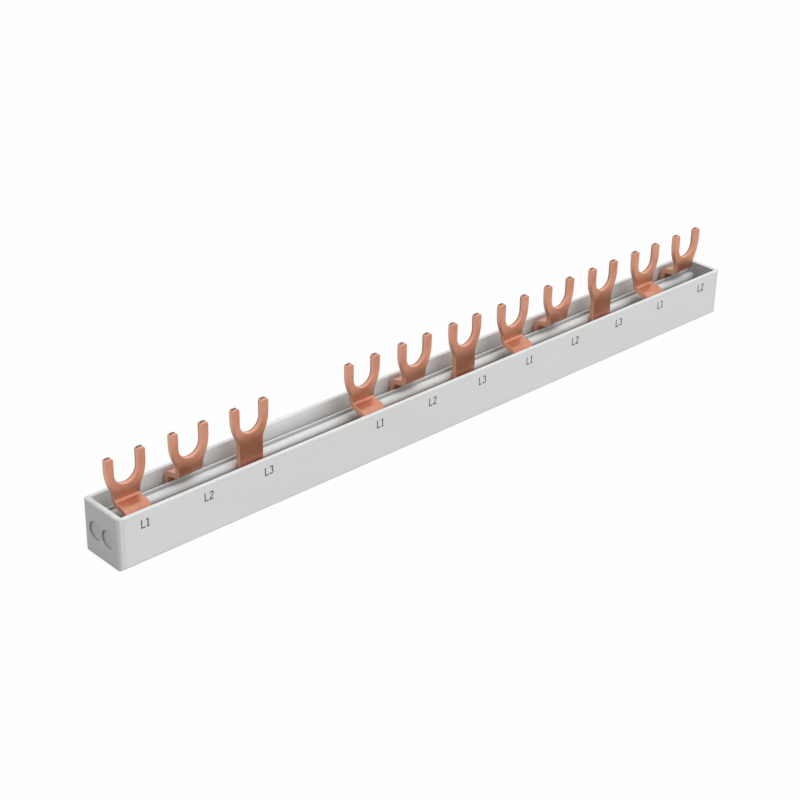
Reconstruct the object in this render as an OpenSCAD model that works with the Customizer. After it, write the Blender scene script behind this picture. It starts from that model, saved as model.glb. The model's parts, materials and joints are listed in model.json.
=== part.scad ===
// Comb busbar: three fork combs of bent copper sheet in an open insulating channel.
// The long side runs along X, the forks point up along Z,
// and the origin is the middle of the underside.

/* [Modules] */
// Distance from one module place to the next
module_pitch = 17.8; // [17:0.05:19]
// Phase that each module place carries, 0 where it has no fork
phase_at = [1, 2, 3, 0, 1, 2, 3, 1, 2, 3, 1, 2]; // [0:3] for each place, the first 1 and the last 2
// Left end of the busbar to the middle of the first place
left_margin = 7.2; // [7:0.1:12]
// Middle of the last place to the right end of the busbar
right_margin = 8.5; // [7.2:0.1:12]

/* [Channel] */
// Outer width of the channel
channel_w = 13.8; // [13.2:0.1:15]
// Outer height of the channel
channel_h = 13.5; // [12.6:0.1:15]
// Thickness of the two side walls
side_wall = 1; // [0.8:0.05:1.3]
// Thickness of the floor
floor_t = 1.2; // [0.8:0.1:2]
// Radius on the long edges of the underside
bottom_edge_r = 0.6; // [0.3:0.1:0.8]
// Radius on the rims of the side walls
rim_edge_r = 0.25; // [0.1:0.05:0.35]
// Thickness of the tall rib beside each outer row of copper
rib_t = 0.45; // [0.4:0.05:0.6]
// Thickness of the web beside the middle row of copper
web_t = 0.7; // [0.5:0.05:0.9]
// Height of the middle of the bead on top of each web
bead_z = 9; // [8.6:0.1:9.4]
// Depth by which the bead runs into the tall rib
bead_overlap = 0.2; // [0.1:0.05:0.3]

/* [Clearances] */
// Between the outer rows of copper and the side walls
wall_clearance = 0.55; // [0.2:0.05:0.8]
// Between the outer rows of copper and the tall ribs
rib_clearance = 0.3; // [0.1:0.05:0.4]
// Between the middle row of copper and the beads
bead_clearance = 0.1; // [0.05:0.01:0.15]
// Between the flat of the copper bridges and the tall ribs below them
bridge_clearance = 1.45; // [0.9:0.05:1.6]

/* [Conductors] */
// Thickness of the copper sheet
sheet_t = 1.5; // [1.2:0.05:1.6]
// Height of the carrying strip at the foot of each comb
strip_h = 6.7; // [4:0.1:7]
// Length of strip beyond the neck of the outermost forks
strip_overhang = 0.4; // [0:0.1:0.6]
// Width of the neck below each fork
neck_w = 7; // [6.7:0.1:7.6]
// Height where the middle line of the bridge meets the fork plane
bridge_z = 13.6; // [13.2:0.1:15]
// Slope of the bridge from the outer row up to the fork plane
bridge_slope = 11; // [8:1:20]
// Radius on the inside of the bend between leg and bridge
leg_bend_r = 1.2; // [0.6:0.1:1.5]
// Radius on the inside of the bend between bridge and fork plate
plate_bend_r = 0.7; // [0.4:0.1:1]

/* [Forks] */
// Width across both prongs
fork_w = 10.7; // [10.4:0.1:12]
// Width of the slot between the prongs
slot_w = 6.6; // [6:0.1:7]
// Height of the prong tips above the underside
tip_z = 25.5; // [25:0.1:30]
// Height of the lowest point of the slot
slot_floor_z = 17.8; // [17.4:0.1:18.6]
// Height where the outer sides start to draw in
shoulder_z = 22.5; // [21.5:0.1:23]
// Radius of the drawn-in sides
shoulder_r = 12; // [11:0.5:14]
// Radius that blends the sides into the neck
neck_blend_r = 4; // [2:0.5:5]
// Radius on the corners of the prong tips
tip_r = 0.8; // [0.4:0.1:0.8]
// Bevel on the front and back of the prong tips
tip_bevel = 0.35; // [0.1:0.05:0.5]

/* [End caps] */
// Thickness of the cap plate
cap_t = 1.5; // [1.2:0.1:2]
// Radius on the upright outer edges of the cap
cap_edge_r = 1.1; // [0.5:0.1:1.2]
// Radius on the top outer edge of the cap
cap_top_r = 0.5; // [0.2:0.1:0.8]
// Length of the tongues that hold the cap in the channel
tongue_l = 7; // [4:0.5:9]
// Bevel on the leading end of each tongue
tongue_bevel = 0.4; // [0.2:0.1:0.6]
// Diameter of the two round recesses in the outer face
recess_d = 4.7; // [3:0.1:4.8]
// Depth of the round recesses
recess_depth = 0.5; // [0.2:0.1:0.8]
// Distance between the middles of the two recesses
recess_spacing = 4.9; // [4.9:0.1:6]
// Height of the middles of the recesses
recess_z = 6.6; // [5:0.1:8]

/* [Hidden] */

$fn = 64;
// Amount by which cutting shapes pass through the faces that they cut
over = 1;

place_count = len(phase_at);
total_l = left_margin + (place_count - 1) * module_pitch + right_margin;
left_x = -total_l / 2;
right_x = total_l / 2;
channel_left_x = left_x + cap_t;
channel_right_x = right_x - cap_t;
first_place_x = left_x + left_margin;

insulation_colour = [0.81, 0.82, 0.82];
copper_colour = [0.76, 0.5, 0.4];

half_w = channel_w / 2;
half_t = sheet_t / 2;
// Distance from the middle row of copper to an outer row
row_pitch = half_w - side_wall - wall_clearance - half_t;
// Row of each phase: the first at the front, the second at the back, the third in the middle
row_y = [0, -row_pitch, row_pitch, 0];
strip_top_z = floor_t + strip_h;
bend_turn = 90 - bridge_slope;
leg_top_z = bridge_z - row_pitch * tan(bridge_slope);

rib_outer_y = row_pitch - half_t - rib_clearance;
rib_inner_y = rib_outer_y - rib_t;
bridge_underside_z = bridge_z - rib_outer_y * tan(bridge_slope) - half_t / cos(bridge_slope);
rib_top_z = bridge_underside_z - bridge_clearance;
bead_front_y = half_t + bead_clearance;
bead_d = rib_inner_y + bead_overlap - bead_front_y;
bead_y = bead_front_y + bead_d / 2;

slot_r = slot_w / 2;
shoulder_x = fork_w / 2 - shoulder_r;
blend_x = neck_w / 2 + neck_blend_r;
blend_reach = shoulder_r + neck_blend_r;
blend_z = shoulder_z - sqrt(pow(blend_reach, 2) - pow(blend_x - shoulder_x, 2));
blend_share = shoulder_r / blend_reach;
meet_x = shoulder_x + (blend_x - shoulder_x) * blend_share;
meet_z = shoulder_z + (blend_z - shoulder_z) * blend_share;

function place_x(i) = first_place_x + i * module_pitch;
function places_of(phase) = [for (i = [0 : place_count - 1]) if (phase_at[i] == phase) i];
function last(list) = list[len(list) - 1];
function toward(angle) = [cos(angle), sin(angle)];
// Length of middle line that a bend takes up on each side of its corner
function bend_run(inner_r) = (inner_r + half_t) * tan(bend_turn / 2);

// Stands a drawing up: its x stays X and its y becomes Z, its depth is centred on Y
module stand_facing_front(depth) {
    rotate([90, 0, 0]) linear_extrude(depth, center = true) children();
}

// Carries a drawing along X from x0 to x1: its x becomes Y and its y becomes Z
module run_along(x0, x1) {
    translate([x0, 0, 0]) rotate([90, 0, 90]) linear_extrude(x1 - x0) children();
}

// Rectangle between two corners
module block(x0, y0, x1, y1) {
    translate([x0, y0]) square([x1 - x0, y1 - y0]);
}

// Channel: an extruded trough with two pairs of ribs that keep the rows of copper apart

module section_outline() {
    rim_z = channel_h - rim_edge_r;
    block(-half_w, bottom_edge_r, half_w, rim_z);
    block(bottom_edge_r - half_w, 0, half_w - bottom_edge_r, rim_z);
    block(rim_edge_r - half_w, bottom_edge_r, half_w - rim_edge_r, channel_h);
    for (side = [-1, 1]) {
        translate([side * (half_w - bottom_edge_r), bottom_edge_r]) circle(bottom_edge_r);
        translate([side * (half_w - rim_edge_r), rim_z]) circle(rim_edge_r);
    }
}

// What the rounding takes off the inner edge of the right-hand rim
module inner_rim_cut() {
    translate([half_w - side_wall + rim_edge_r, channel_h - rim_edge_r]) difference() {
        block(-rim_edge_r, 0, 0, rim_edge_r + over);
        circle(rim_edge_r);
    }
}

// A tall rib beside the outer row and a beaded web beside the middle row, rooted in the floor
module rib_pair() {
    root_z = floor_t / 2;
    block(rib_inner_y, root_z, rib_outer_y, rib_top_z);
    block(bead_y - web_t / 2, root_z, bead_y + web_t / 2, bead_z);
    translate([bead_y, bead_z]) circle(d = bead_d);
}

module channel_profile() {
    difference() {
        section_outline();
        block(side_wall - half_w, floor_t, half_w - side_wall, channel_h + over);
        inner_rim_cut();
        mirror([1, 0]) inner_rim_cut();
    }
    rib_pair();
    mirror([1, 0]) rib_pair();
}

module channel() {
    color(insulation_colour)
        run_along(channel_left_x, channel_right_x) channel_profile();
}

// Conductors: each comb is the solid that its front view and its bent side view share

// The straight upper part of the right-hand prong, its inner side at x = 0
module prong_top() {
    prong_w = (fork_w - slot_w) / 2;
    block(0, shoulder_z, prong_w, tip_z - tip_r);
    block(tip_r, tip_z - 2 * tip_r, prong_w - tip_r, tip_z);
    for (x = [tip_r, prong_w - tip_r])
        translate([x, tip_z - tip_r]) circle(tip_r);
}

module fork_drawing() {
    difference() {
        union() {
            intersection() {
                translate([shoulder_x, shoulder_z]) circle(shoulder_r);
                translate([-shoulder_x, shoulder_z]) circle(shoulder_r);
                block(-fork_w, meet_z, fork_w, shoulder_z);
            }
            difference() {
                block(-meet_x, blend_z, meet_x, meet_z);
                for (side = [-1, 1])
                    translate([side * blend_x, blend_z]) circle(neck_blend_r);
            }
            block(-neck_w / 2, floor_t, neck_w / 2, meet_z);
        }
        translate([0, slot_floor_z + slot_r]) circle(slot_r);
        block(-slot_r, slot_floor_z + slot_r, slot_r, tip_z + over);
    }
    translate([slot_r, 0]) prong_top();
    mirror([1, 0]) translate([slot_r, 0]) prong_top();
}

module comb_front_view(phase) {
    places = places_of(phase);
    reach = neck_w / 2 + strip_overhang;
    block(place_x(places[0]) - reach, floor_t, place_x(last(places)) + reach, strip_top_z);
    for (i = places)
        translate([place_x(i), 0]) fork_drawing();
}

// Side view of a comb in the middle row, which stays flat
module flat_side_view() {
    polygon([[-half_t, floor_t], [half_t, floor_t], [half_t, tip_z - tip_bevel],
             [half_t - tip_bevel, tip_z], [tip_bevel - half_t, tip_z], [-half_t, tip_z - tip_bevel]]);
}

// Corner outside a bend: what the round face leaves of the two flat faces' sharp corner.
// It reaches one thickness past the flat faces, so that no skin of the corner stays behind
module bend_corner(centre, outer_r, from) {
    past_r = outer_r + sheet_t;
    translate(centre) difference() {
        polygon([[0, 0], past_r * toward(from),
                 past_r / cos(bend_turn / 2) * toward(from + bend_turn / 2),
                 past_r * toward(from + bend_turn)]);
        circle(outer_r);
    }
}

// Side view of a comb in the back row: leg, bend, sloping bridge, bend and fork plate
module bent_side_view() {
    leg_outer_r = leg_bend_r + sheet_t;
    plate_outer_r = plate_bend_r + sheet_t;
    leg_bend = [row_pitch - half_t - leg_bend_r, leg_top_z - bend_run(leg_bend_r)];
    plate_bend = [half_t + plate_bend_r, bridge_z + bend_run(plate_bend_r)];
    difference() {
        polygon([[row_pitch + half_t, floor_t],
                 leg_bend + leg_outer_r / cos(bend_turn / 2) * toward(bend_turn / 2),
                 plate_bend + plate_bend_r * toward(180 + bend_turn),
                 plate_bend,
                 plate_bend + plate_bend_r * toward(180),
                 [half_t, tip_z - tip_bevel],
                 [half_t - tip_bevel, tip_z],
                 [tip_bevel - half_t, tip_z],
                 [-half_t, tip_z - tip_bevel],
                 plate_bend + plate_outer_r / cos(bend_turn / 2) * toward(180 + bend_turn / 2),
                 leg_bend + leg_bend_r * toward(bend_turn),
                 leg_bend,
                 leg_bend + leg_bend_r * toward(0),
                 [row_pitch - half_t, floor_t]]);
        translate(leg_bend) circle(leg_bend_r);
        translate(plate_bend) circle(plate_bend_r);
        bend_corner(leg_bend, leg_outer_r, 0);
        bend_corner(plate_bend, plate_outer_r, 180);
    }
}

module comb(phase) {
    y = row_y[phase];
    color(copper_colour)
        intersection() {
            stand_facing_front(2 * channel_w) comb_front_view(phase);
            run_along(left_x, right_x) {
                if (y > 0) bent_side_view();
                if (y < 0) mirror([1, 0]) bent_side_view();
                if (y == 0) flat_side_view();
            }
        }
}

module conductor_l1() { comb(1); }
module conductor_l2() { comb(2); }
module conductor_l3() { comb(3); }

// End caps: a plate with two tongues, one in the middle row and one in the free outer row

module cap_plan() {
    block(cap_edge_r, -half_w, cap_t, half_w);
    block(0, cap_edge_r - half_w, cap_t, half_w - cap_edge_r);
    for (side = [-1, 1])
        translate([cap_edge_r, side * (half_w - cap_edge_r)]) circle(cap_edge_r);
}

module cap_elevation() {
    block(0, 0, cap_t, channel_h - cap_top_r);
    block(cap_top_r, 0, cap_t, channel_h);
    translate([cap_top_r, channel_h - cap_top_r]) circle(cap_top_r);
}

// Tongue as thick and as high as the copper strip whose row it fills
module tongue(y) {
    bevel_x = tongue_l - tongue_bevel;
    translate([cap_t, y, floor_t]) linear_extrude(strip_h)
        polygon([[0, -half_t], [bevel_x, -half_t], [tongue_l, tongue_bevel - half_t],
                 [tongue_l, half_t - tongue_bevel], [bevel_x, half_t], [0, half_t]]);
}

module end_cap() {
    color(insulation_colour)
        difference() {
            union() {
                intersection() {
                    linear_extrude(channel_h) cap_plan();
                    stand_facing_front(2 * channel_w) cap_elevation();
                    run_along(-over, cap_t) section_outline();
                }
                tongue(0);
                tongue(row_pitch);
            }
            for (side = [-1, 1])
                translate([-over, side * recess_spacing / 2, recess_z]) rotate([0, 90, 0])
                    cylinder(d = recess_d, h = over + recess_depth);
        }
}

module end_cap_left() { translate([left_x, 0, 0]) end_cap(); }
module end_cap_right() { translate([right_x, 0, 0]) rotate([0, 0, 180]) end_cap(); }

channel();
conductor_l1();
conductor_l2();
conductor_l3();
end_cap_left();
end_cap_right();
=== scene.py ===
import json
from math import cos, radians, sin

import bmesh
import bpy
import numpy as np
from mathutils import Matrix, Vector


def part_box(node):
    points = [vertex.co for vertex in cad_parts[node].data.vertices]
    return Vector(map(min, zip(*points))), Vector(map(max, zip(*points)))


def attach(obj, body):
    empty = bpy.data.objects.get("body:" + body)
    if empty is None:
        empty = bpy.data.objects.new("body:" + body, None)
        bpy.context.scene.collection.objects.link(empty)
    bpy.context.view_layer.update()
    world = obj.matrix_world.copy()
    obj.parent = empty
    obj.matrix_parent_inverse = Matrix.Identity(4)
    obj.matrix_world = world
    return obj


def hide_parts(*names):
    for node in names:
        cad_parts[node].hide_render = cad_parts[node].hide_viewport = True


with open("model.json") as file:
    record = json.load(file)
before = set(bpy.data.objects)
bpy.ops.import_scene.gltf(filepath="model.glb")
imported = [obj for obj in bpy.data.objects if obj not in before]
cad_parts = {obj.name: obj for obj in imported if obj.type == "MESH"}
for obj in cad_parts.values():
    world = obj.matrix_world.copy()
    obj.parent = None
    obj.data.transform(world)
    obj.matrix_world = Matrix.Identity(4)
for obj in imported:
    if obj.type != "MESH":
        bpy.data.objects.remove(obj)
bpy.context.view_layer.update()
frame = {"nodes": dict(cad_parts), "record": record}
scene = bpy.context.scene
mm = 0.001  # one millimetre in metres
print("loaded", len(frame["nodes"]), "solids")


# sizes from the frame, in mm; the forks come from mounts such as fork_5_l1, place 5 and phase L1
def highCorner(node):
    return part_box(node)[1] / mm


channelEndX, channelWallY = highCorner("channel")[:2]
capFaceX = highCorner("end_cap_right").x
tipZ = highCorner("conductor_l3").z
forks = []
for mount in frame["record"]["mounts"]:
    kind, *rest = mount["name"].split("_")
    if kind == "fork":
        place, phase = rest
        forks.append({"place": int(place), "phase": phase.upper(), "x": mount["pos_m"][0] / mm})
firstFork, lastFork = forks[0], forks[-1]
modulePitch = (lastFork["x"] - firstFork["x"]) / (lastFork["place"] - firstFork["place"])
print("forks found:", len(forks))


# camera, fitted to the fork tips, the phase marks and the corners of the channel
cameraView = {
    "at": (-299.33, -302.03, 230.21),  # mm
    "azimuth": 43.35,  # degrees, 0 looks along +Y
    "elevation": 27.995,
    "roll": 1.256,
    "sensor": 36,  # mm
    "lens": 83.18,
    "sees": (0.01, 20),  # metres
}


# turns an object's -Z to forward, with its Y upright and then rolled
def aimed(forward, roll=0.0):
    level = forward.cross(Vector((0, 0, 1))).normalized()
    upright = level.cross(forward)
    right = cos(roll) * level + sin(roll) * upright
    up = cos(roll) * upright - sin(roll) * level
    return Matrix((right, up, -forward)).transposed().to_4x4()


def placeCamera():
    azimuth, elevation = radians(cameraView["azimuth"]), radians(cameraView["elevation"])
    level = Vector((sin(azimuth), cos(azimuth), 0))
    forward = cos(elevation) * level - Vector((0, 0, sin(elevation)))
    lens = bpy.data.cameras.new("camera")
    lens.sensor_width = cameraView["sensor"]
    lens.lens = cameraView["lens"]
    lens.clip_start, lens.clip_end = cameraView["sees"]
    camera = bpy.data.objects.new("camera", lens)
    at = Matrix.Translation(Vector(cameraView["at"]) * mm)
    camera.matrix_world = at @ aimed(forward, radians(cameraView["roll"]))
    scene.collection.objects.link(camera)
    scene.camera = camera


placeCamera()
print("camera placed")


# one shader socket: sums written with it add the Math nodes that work them out
class Wire:
    def __init__(self, finish, socket):
        self.finish, self.socket = finish, socket

    # one Math node; in a form such as 1 - wire the wire comes second
    def math(self, operation, *others, before=()):
        values = dict(enumerate((*before, self, *others)))
        return self.finish.add("ShaderNodeMath", {"operation": operation}, values)

    def __add__(self, other):
        return self.math("ADD", other)

    def __radd__(self, other):
        return self.math("ADD", before=(other,))

    def __sub__(self, other):
        return self.math("SUBTRACT", other)

    def __rsub__(self, other):
        return self.math("SUBTRACT", before=(other,))

    def __mul__(self, other):
        return self.math("MULTIPLY", other)

    def __rmul__(self, other):
        return self.math("MULTIPLY", before=(other,))

    def __abs__(self):
        return self.math("ABSOLUTE")

    def most(self, other):
        return self.math("MAXIMUM", other)

    # rises smoothly from 0 at low to 1 at high
    def ramp(self, low, high):
        settings = {"interpolation_type": "SMOOTHSTEP"}
        values = {"Value": self, "From Min": low, "From Max": high}
        return self.finish.add("ShaderNodeMapRange", settings, values)

    # 0 up to the edge and 1 once it is past it, soft over the width
    def past(self, edge, width):
        return self.ramp(edge, edge + width)


# a material or the world, while its nodes are laid out
class Finish:
    def __init__(self, owner):
        owner.use_nodes = True
        self.owner, self.tree = owner, owner.node_tree
        self.tree.nodes.clear()

    # one node: its settings come first, then the values or links of its sockets
    def add(self, kind, settings, values, output=0):
        node = self.tree.nodes.new(kind)
        for name, value in settings.items():
            setattr(node, name, value)
        for name, value in values.items():
            self.feed(node.inputs[name], value)
        return Wire(self, node.outputs[output])

    def feed(self, socket, value):
        if isinstance(value, Wire):
            self.tree.links.new(value.socket, socket)
        else:
            socket.default_value = value

    # object coordinates in millimetres, times a stretch along X, Y and Z
    def place(self, stretch=(1, 1, 1)):
        where = self.add("ShaderNodeTexCoord", {}, {}, "Object")
        factors = tuple(share / mm for share in stretch)
        return self.add("ShaderNodeVectorMath", {"operation": "MULTIPLY"}, {0: where, 1: factors})

    # noise from about -0.5 to 0.5, with that many grains to the millimetre along X, Y and Z
    def noise(self, grains, detail=2.0):
        values = {"Vector": self.place(grains), "Scale": 1.0, "Detail": detail}
        return self.add("ShaderNodeTexNoise", {}, values, "Fac") - 0.5

    # the X, Y and Z of a vector
    def parts(self, vector):
        split = self.add("ShaderNodeSeparateXYZ", {}, {"Vector": vector})
        return [Wire(self, socket) for socket in split.socket.node.outputs]

    # how squarely the surface looks along X, Y and Z: 1 straight along, either way, 0 across
    def facing(self):
        normal = self.add("ShaderNodeNewGeometry", {}, {}, "Normal")
        return [abs(part) for part in self.parts(normal)]

    # goes from the first colour to the second as the share goes from 0 to 1
    def mixed(self, share, *colours):
        first, second = (colour if isinstance(colour, Wire) else (*colour, 1.0)
                         for colour in colours)
        values = {0: share, 6: first, 7: second}
        return self.add("ShaderNodeMix", {"data_type": "RGBA"}, values, 2)

    # takes that share of a colour away
    def darkened(self, colour, share):
        return self.mixed(share, colour, (0, 0, 0))

    # ends a material with one Principled shader whose bumps are depth millimetres deep
    def surface(self, height, depth, values):
        bump = {"Height": height, "Distance": depth * mm}
        values = {**values, "Normal": self.add("ShaderNodeBump", {}, bump)}
        shader = self.add("ShaderNodeBsdfPrincipled", {}, values)
        return self.end(shader, "ShaderNodeOutputMaterial")

    def end(self, closing, kind):
        self.feed(self.tree.nodes.new(kind).inputs["Surface"], closing)
        return self.owner


def named(title):
    return Finish(bpy.data.materials.new(title))


# plastic of the channel, extruded along X; its grains are given to the mm along X, Y and Z
channelLook = {
    "colour": (0.64, 0.645, 0.645),
    # inside the walls: a slightly brighter, cooler copy of the colour, painted to offset the shade
    # and the reddish light that the copper throws there
    "insidePaintedTint": (0.645, 0.66, 0.658),
    "insideReach": 6.0,  # mm to either side of the middle line, as far as that painted tint reaches
    "dieLines": (0.004, 5.0, 5.0),  # grains so long that they run from end to end
    "clouds": (0.05, 0.2, 0.2),
    "speckle": (9.0, 9.0, 9.0),
    "cloudDark": 0.0335,  # share of the colour that the clouds take away
    "groovePaintedShade": 0.32,  # painted shade: share taken away on the face that a rib turns to its bead, down where shade falls between them
    "ribFace": 3.1,  # mm from the middle line to that face
    "ribFoot": 8.5,  # height where that painted shade starts, in mm
    "roughness": 0.42,
    "shine": 0.4,
    "lineDepth": 0.004,  # mm
}


def extrudedPlastic():
    finish = named("extrudedPlastic")
    lines = finish.noise(channelLook["dieLines"], 3.0)
    clouds = finish.noise(channelLook["clouds"])
    speckle = finish.noise(channelLook["speckle"], 1.0)
    tone = (clouds + lines * 0.6 + 0.5).ramp(0.2, 0.8)
    faceY = finish.facing()[1]
    atY, atZ = finish.parts(finish.place())[1:]
    # painted shade on the face that each rib turns to its bead
    offFace = abs(abs(atY) - channelLook["ribFace"])
    grooveShade = (1 - offFace.past(0.02, 0.08)) * faceY.ramp(0.6, 0.9)
    grooveShade = grooveShade * atZ.past(channelLook["ribFoot"], 0.3)
    outside = abs(atY).past(channelLook["insideReach"], 0.2)
    plastic = finish.mixed(outside, channelLook["insidePaintedTint"], channelLook["colour"])
    plastic = finish.darkened(plastic, (1 - tone) * channelLook["cloudDark"])
    values = {
        "Base Color": finish.darkened(plastic, grooveShade * channelLook["groovePaintedShade"]),
        "Roughness": channelLook["roughness"] + lines * 0.08 + speckle * 0.06,
        "Specular IOR Level": channelLook["shine"],
    }
    return finish.surface(lines * 0.8 + speckle * 0.2, channelLook["lineDepth"], values)


# plastic of the caps, moulded
capLook = {
    "colour": (0.635, 0.64, 0.64),
    "grain": (7.0, 7.0, 7.0),  # of the spark-eroded mould
    "clouds": (0.3, 0.3, 0.3),
    "cloudDark": 0.035,
    "innerPaintedShade": 0.38,  # painted shade: share of the inside colour taken away on the face that a cap turns to the channel, where the walls shade it
    "recessPaintedShade": 0.5,  # painted shade: share of the colour taken away on the walls of the round recesses
    "recessDepth": 0.5,  # mm
    "recessReach": 5.2,  # mm to either side of the middle line
    "recessHeights": (3.0, 9.8),  # mm
    "roughness": 0.48,
    "shine": 0.4,
    "grainDepth": 0.006,  # mm
}


def mouldedPlastic():
    finish = named("mouldedPlastic")
    grain = finish.noise(capLook["grain"], 3.0)
    clouds = finish.noise(capLook["clouds"])
    tone = (clouds + 0.5).ramp(0.2, 0.8)
    faceX = finish.facing()[0]
    atX, atY, atZ = finish.parts(finish.place())
    foot, top = capLook["recessHeights"]
    # painted shade on the walls of the two round recesses in each cap
    recessShade = abs(atX).past(capFaceX - capLook["recessDepth"] - 0.05, 0.05)
    recessShade = recessShade * (1 - faceX.ramp(0.3, 0.6))
    recessShade = recessShade * (1 - abs(atY).past(capLook["recessReach"], 0.2))
    recessShade = recessShade * atZ.past(foot, 0.2) * (1 - atZ.past(top, 0.2))
    # painted shade: the face that each cap turns to the channel takes the inside tint and is then
    # darkened
    innerShade = faceX.ramp(0.6, 0.9) * (1 - abs(atX).past(channelEndX + 0.05, 0.1))
    plastic = finish.darkened(capLook["colour"], (1 - tone) * capLook["cloudDark"])
    plastic = finish.mixed(innerShade, plastic, channelLook["insidePaintedTint"])
    plastic = finish.darkened(plastic, innerShade * capLook["innerPaintedShade"])
    values = {
        "Base Color": finish.darkened(plastic, recessShade * capLook["recessPaintedShade"]),
        "Roughness": capLook["roughness"] + grain * 0.1,
        "Specular IOR Level": capLook["shine"],
    }
    return finish.surface(grain, capLook["grainDepth"], values)


# copper: rolled sheet whose sides were half cut and half torn by the punch
copperLook = {
    "bright": (0.66, 0.305, 0.197),
    "tarnished": (0.52, 0.208, 0.124),
    # these three: colour, how far it hides the sheet's own
    "cut": ((0.78, 0.41, 0.29), 0.7),
    # torn back half of the slot sides, with painted shade
    "tornEdgeAndShade": ((0.3, 0.14, 0.09), 0.8),
    # painted shade on the backs of the tips
    "tipShade": ((0.09, 0.06, 0.05), 0.9),
    # grains to the mm along X, Y and Z
    "rolling": (0.25, 8.0, 8.0),
    "shear": (12.0, 1.2, 12.0),
    "clouds": (0.16, 0.16, 0.16),
    "fine": (3.0, 3.0, 3.0),
    "metal": 0.86,
    "cutDull": 0.35,  # share of the metal that the cut sides lack
    "roughness": 0.3,
    "plateFoot": 15.0,  # height where the upright fork plates begin, in mm
    "slotFoot": 17.0,  # height where the slots begin, in mm
    "slotReach": 3.35,  # mm to either side of a fork's middle
    "tornFrom": 0.15,  # mm behind the middle of the sheet, where the torn zone and its painted shade start
    "tipShadeFrom": -0.5,
    "tipShadeReach": 0.3,  # mm below the tips, as far down as the painted shade reaches
    "rollingDepth": 0.004,  # mm
}


def rolledCopper():
    finish = named("rolledCopper")
    faceX, faceY = finish.facing()[:2]
    atX, atY, atZ = finish.parts(finish.place())
    rolling = finish.noise(copperLook["rolling"], 3.0)
    shear = finish.noise(copperLook["shear"])
    clouds = finish.noise(copperLook["clouds"], 3.0)
    fine = finish.noise(copperLook["fine"])
    # sheared sides look along the row, and on the fork plates any way but front and back
    plate = atZ.past(copperLook["plateFoot"], 0.6)
    cut = faceX.ramp(0.55, 0.8).most(plate * (1 - faceY).ramp(0.3, 0.65))
    # distance to the middle of the nearest place, from X wrapped round at every pitch
    half = modulePitch / 2
    fromFork = abs((atX - firstFork["x"] + half).math("WRAP", modulePitch, 0.0) - half)
    # darkened back half of the cut sides, kept within the slots: partly the punch's torn zone,
    # partly painted shade between the prongs
    slot = 1 - fromFork.past(copperLook["slotReach"], 0.1)
    slot = slot * atZ.past(copperLook["slotFoot"], 0.5)
    tornEdgeAndShade = cut * slot * (atY + shear * 0.4).past(copperLook["tornFrom"], 0.25)
    # painted shade on the back half of each tip's top
    tipShade = (atZ + fine * 0.2).past(tipZ - copperLook["tipShadeReach"], 0.15)
    tipShade = tipShade * atY.past(copperLook["tipShadeFrom"], 0.3)
    tone = (clouds * 1.3 + fine * 0.3 + 0.5).ramp(0.15, 0.75)
    sheet = finish.mixed(tone, copperLook["tarnished"], copperLook["bright"])
    for side, name in ((cut, "cut"), (tornEdgeAndShade, "tornEdgeAndShade"), (tipShade, "tipShade")):
        colour, cover = copperLook[name]
        sheet = finish.mixed(side * cover, sheet, colour)
    grain = clouds * 0.1 + rolling * 0.06
    values = {
        "Base Color": sheet,
        "Metallic": copperLook["metal"] - cut * copperLook["cutDull"],
        "Roughness": copperLook["roughness"] + grain + tornEdgeAndShade * 0.2 + tipShade * 0.15,
    }
    return finish.surface(rolling * (1 - cut) + shear * cut, copperLook["rollingDepth"], values)


inkLook = {
    "thin": (0.055, 0.056, 0.058),
    "full": (0.022, 0.022, 0.024),
    "spread": (6.0, 6.0, 6.0),  # grains to the mm
    "roughness": 0.55,
    "grainDepth": 0.002,  # mm
}


def printingInk():
    finish = named("printingInk")
    spread = finish.noise(inkLook["spread"])
    values = {
        "Base Color": finish.mixed((spread + 0.5).ramp(0.1, 0.9), inkLook["thin"], inkLook["full"]),
        "Roughness": inkLook["roughness"] + spread * 0.2,
    }
    return finish.surface(spread, inkLook["grainDepth"], values)


finishes = {
    "channel": extrudedPlastic(),
    "end_cap": mouldedPlastic(),
    "copper": rolledCopper(),
    "ink": printingInk(),
}
print("materials laid out:", ", ".join(finishes))


# CAD solids with their sharp edges broken, as extruding, moulding and deburring leave them
edgeBreaks = {
    # CAD node: piece, material slot, width of the broken edge in mm
    "channel": ("extrudedChannel", "channel", 0.07),
    "conductor_l1": ("frontComb", "copper", 0.14),
    "conductor_l2": ("backComb", "copper", 0.14),
    "conductor_l3": ("middleComb", "copper", 0.14),
    "end_cap_left": ("leftCap", "end_cap", 0.1),
    "end_cap_right": ("rightCap", "end_cap", 0.1),
}
edgeRules = {
    "merged": 0.001,  # mm within which two corners are one
    "flat": 0.3,  # degrees up to which faces are one flat
    "broken": 75,  # degrees from which an outward edge is broken
    "lengthways": 0.9,  # part of an edge's length along X from which it runs along the channel
    "creased": 35,  # degrees from which an edge stays a crease
    "facets": 2,  # faces across a broken edge
    "flatsLead": 90,  # how far the flats decide the shading of what borders on them
}


# whether an outward edge is sharp enough; the channel's sawn ends stay as they are
def isBroken(edge, slotName):
    if len(edge.link_faces) != 2 or not edge.is_convex:
        return False
    along = (edge.verts[0].co - edge.verts[1].co).normalized()
    wanted = slotName != "channel" or abs(along.x) > edgeRules["lengthways"]
    return wanted and edge.calc_face_angle() >= radians(edgeRules["broken"])


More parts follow.
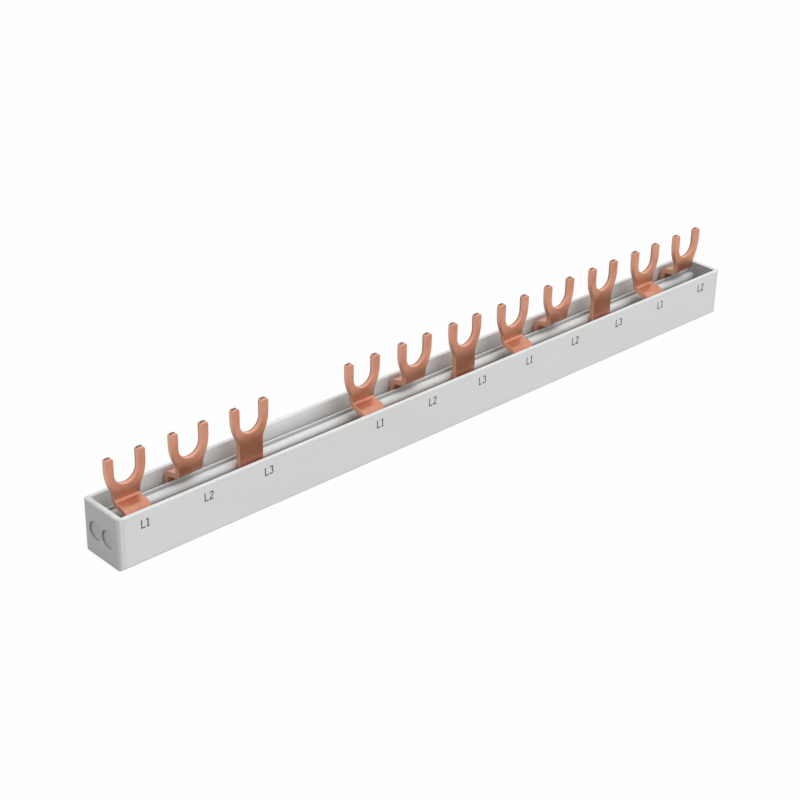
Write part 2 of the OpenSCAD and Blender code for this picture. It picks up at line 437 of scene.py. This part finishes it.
# a copy of a CAD node with its flats made whole and its outward corners bevelled
def brokenEdges(node, title, slotName, width):
    work = bmesh.new()
    work.from_mesh(frame["nodes"][node].data)
    bmesh.ops.remove_doubles(work, verts=work.verts, dist=edgeRules["merged"] * mm)
    flat = radians(edgeRules["flat"])
    bmesh.ops.dissolve_limit(work, angle_limit=flat, verts=work.verts, edges=work.edges)
    keen = work.edges.layers.float.new("bevel_weight_edge")
    for edge in work.edges:
        edge[keen] = float(isBroken(edge, slotName))
    mesh = bpy.data.meshes.new(title)
    work.to_mesh(mesh)
    work.free()
    mesh.materials.clear()
    mesh.materials.append(finishes[slotName])
    mesh.shade_smooth()
    mesh.set_sharp_from_angle(angle=radians(edgeRules["creased"]))
    piece = bpy.data.objects.new(title, mesh)
    scene.collection.objects.link(piece)
    bevel = piece.modifiers.new("edgeBreak", "BEVEL")
    bevel.width = width * mm
    bevel.segments = edgeRules["facets"]
    bevel.limit_method = "WEIGHT"
    bevel.use_clamp_overlap = False
    weights = piece.modifiers.new("flatsFirst", "WEIGHTED_NORMAL")
    weights.weight = edgeRules["flatsLead"]
    weights.keep_sharp = True
    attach(piece, "root")
    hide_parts(node)


for node, (title, slotName, width) in edgeBreaks.items():
    brokenEdges(node, title, slotName, width)
print("edges broken on", len(edgeBreaks), "pieces")


# phase marks printed on the front wall, one below each fork; sizes in mm
phaseMarks = {
    "height": 2.28,
    "baseZ": 9.02,
    "leftOfFork": 0.86,
    "letterWidth": 1.0,
    "digitAt": 1.26,
    "stroke": 0.31,
    "film": 0.008,  # thickness of the ink
    "crossing": 0.002,  # added for each later stroke, so that crossing strokes share no face
}


# points round a circle: centre plus radius times the cosine and sine of evenly spaced angles
def arc(centre, radius, start, stop, count=24):
    angle = np.radians(np.linspace(start, stop, count))
    return np.column_stack((centre[0] + radius * np.cos(angle), centre[1] + radius * np.sin(angle)))


# middle lines of a character's strokes, its left foot at the origin
def strokesOf(character):
    half = phaseMarks["stroke"] / 2
    top = phaseMarks["height"]
    if character == "L":
        return [np.array([(0, top), (0, half), (phaseMarks["letterWidth"], half)])]
    if character == "1":
        stem, flag = [(0.48, top), (0.48, 0)], [(0.1, top - 0.5), (0.42, top - 0.14)]
        return [np.array(line) for line in (stem, flag, [(0.16, half), (0.8, half)])]
    if character == "2":
        bowl = arc((0.6, top - 0.6), 0.6 - half, 172, -38)
        return [np.vstack((bowl, [(0.16, 2 * half)])), np.array([(0.02, half), (1.2, half)])]
    upper = arc((0.56, top - 0.58), 0.58 - half, 160, -80)
    lower = arc((0.56, 0.66), 0.66 - half, 78, -158)
    return [upper, lower]


# a rectangle carried along a path on the wall. Corners are mitred: each point's sides lie
# along the mean of its neighbours' normals, stretched by one over the cosine between them
def film(path, width, thickness):
    steps = np.diff(path, axis=0)
    steps = steps / np.linalg.norm(steps, axis=1)[:, None]
    normals = np.column_stack((-steps[:, 1], steps[:, 0]))
    ahead, behind = np.vstack((normals, normals[-1:])), np.vstack((normals[:1], normals))
    mean = ahead + behind
    mean = mean / np.linalg.norm(mean, axis=1)[:, None]
    side = mean / np.sum(mean * ahead, axis=1)[:, None] * width / 2
    left, right = path + side, path - side
    corners = [(left, 0), (right, 0), (right, -thickness), (left, -thickness)]
    rings = [np.column_stack((flat[:, 0], np.full(len(path), y), flat[:, 1]))
             for flat, y in corners]
    first = 4 * np.arange(len(path) - 1)[:, None]
    turn, onward = np.arange(4), (np.arange(4) + 1) % 4
    quads = np.stack((first + turn, first + onward, first + 4 + onward, first + 4 + turn), 2)
    last = 4 * (len(path) - 1)
    ends = np.array([[3, 2, 1, 0], [last, last + 1, last + 2, last + 3]])
    return np.stack(rings, 1).reshape(-1, 3), np.vstack((quads.reshape(-1, 4), ends))


def printPhaseMarks():
    points, faces, count = [], [], 0
    for fork in forks:
        left = fork["x"] - phaseMarks["leftOfFork"]
        for character, shift in zip(fork["phase"], (0.0, phaseMarks["digitAt"])):
            for order, path in enumerate(strokesOf(character)):
                thickness = phaseMarks["film"] + order * phaseMarks["crossing"]
                ring, quads = film(path, phaseMarks["stroke"], thickness)
                points.append(ring + (left + shift, -channelWallY, phaseMarks["baseZ"]))
                faces.append(quads + count)
                count += len(ring)
    mesh = bpy.data.meshes.new("phaseMarks")
    mesh.from_pydata(np.vstack(points) * mm, [], np.vstack(faces))
    mesh.materials.append(finishes["ink"])
    work = bmesh.new()
    work.from_mesh(mesh)
    bmesh.ops.recalc_face_normals(work, faces=work.faces)
    work.to_mesh(mesh)
    work.free()
    piece = bpy.data.objects.new("phaseMarks", mesh)
    scene.collection.objects.link(piece)
    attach(piece, "root")


printPhaseMarks()
print("phase marks printed")


# studio: pale floor, white surround, soft lamps
studio = {
    "floorSize": 6.0,  # metres
    "floorGap": 0.02,  # mm between the floor and the underside
    "floorColour": (0.2, 0.2, 0.2),
    "floorRoughness": 0.5,
    "floorGlow": 0.985,  # share of plain white that the camera sees in the floor
    "fibreGlow": 0.01,  # how much that share varies
    "fibres": (0.4, 0.4, 0.4),  # grains to the mm
    "surround": 0.72,  # strength of the world's light on the object
    "lamps": {
        # name: where it shines from, strength, softness in degrees
        "keyLamp": ((0.5, -0.8, 0.55), 2.35, 80),
        "topLamp": ((0.2, 0.2, 1.0), 0.55, 90),
    },
}


# 1 for camera, glossy and transmission rays, 0 for light that reaches other surfaces
def seenDirectly(finish):
    camera, glossy, transmission = [
        finish.add("ShaderNodeLightPath", {}, {}, name)
        for name in ("Is Camera Ray", "Is Glossy Ray", "Is Transmission Ray")]
    return camera.most(glossy).most(transmission)


def layFloor():
    half, gap = studio["floorSize"] / 2, studio["floorGap"] * mm
    corners = [(-half, -half, -gap), (half, -half, -gap), (half, half, -gap), (-half, half, -gap)]
    mesh = bpy.data.meshes.new("floor")
    mesh.from_pydata(corners, [], [(0, 1, 2, 3)])
    finish = named("floorPaper")
    fibre = finish.noise(studio["fibres"])
    matt = {"Color": (*studio["floorColour"], 1.0), "Roughness": studio["floorRoughness"]}
    paper = finish.add("ShaderNodeBsdfDiffuse", {}, matt)
    glow = finish.add("ShaderNodeEmission", {}, {"Color": (1, 1, 1, 1), "Strength": 1.0})
    share = seenDirectly(finish) * (studio["floorGlow"] + fibre * studio["fibreGlow"])
    blended = finish.add("ShaderNodeMixShader", {}, {0: share, 1: paper, 2: glow})
    mesh.materials.append(finish.end(blended, "ShaderNodeOutputMaterial"))
    floor = bpy.data.objects.new("floor", mesh)
    scene.collection.objects.link(floor)


# the lamps light every surface, but metal doesn't mirror them
def lightStudio():
    scene.world = bpy.data.worlds.new("surround")
    finish = Finish(scene.world)
    strength = studio["surround"] + seenDirectly(finish) * (1 - studio["surround"])
    white = finish.add("ShaderNodeBackground", {}, {"Color": (1, 1, 1, 1), "Strength": strength})
    finish.end(white, "ShaderNodeOutputWorld")
    for title, (source, power, softness) in studio["lamps"].items():
        lamp = bpy.data.lights.new(title, "SUN")
        lamp.energy, lamp.angle = power, radians(softness)
        carrier = bpy.data.objects.new(title, lamp)
        carrier.matrix_world = aimed(-Vector(source).normalized())
        carrier.visible_glossy = False
        scene.collection.objects.link(carrier)


layFloor()
lightStudio()
scene.view_settings.view_transform = "Standard"
print("studio lit")
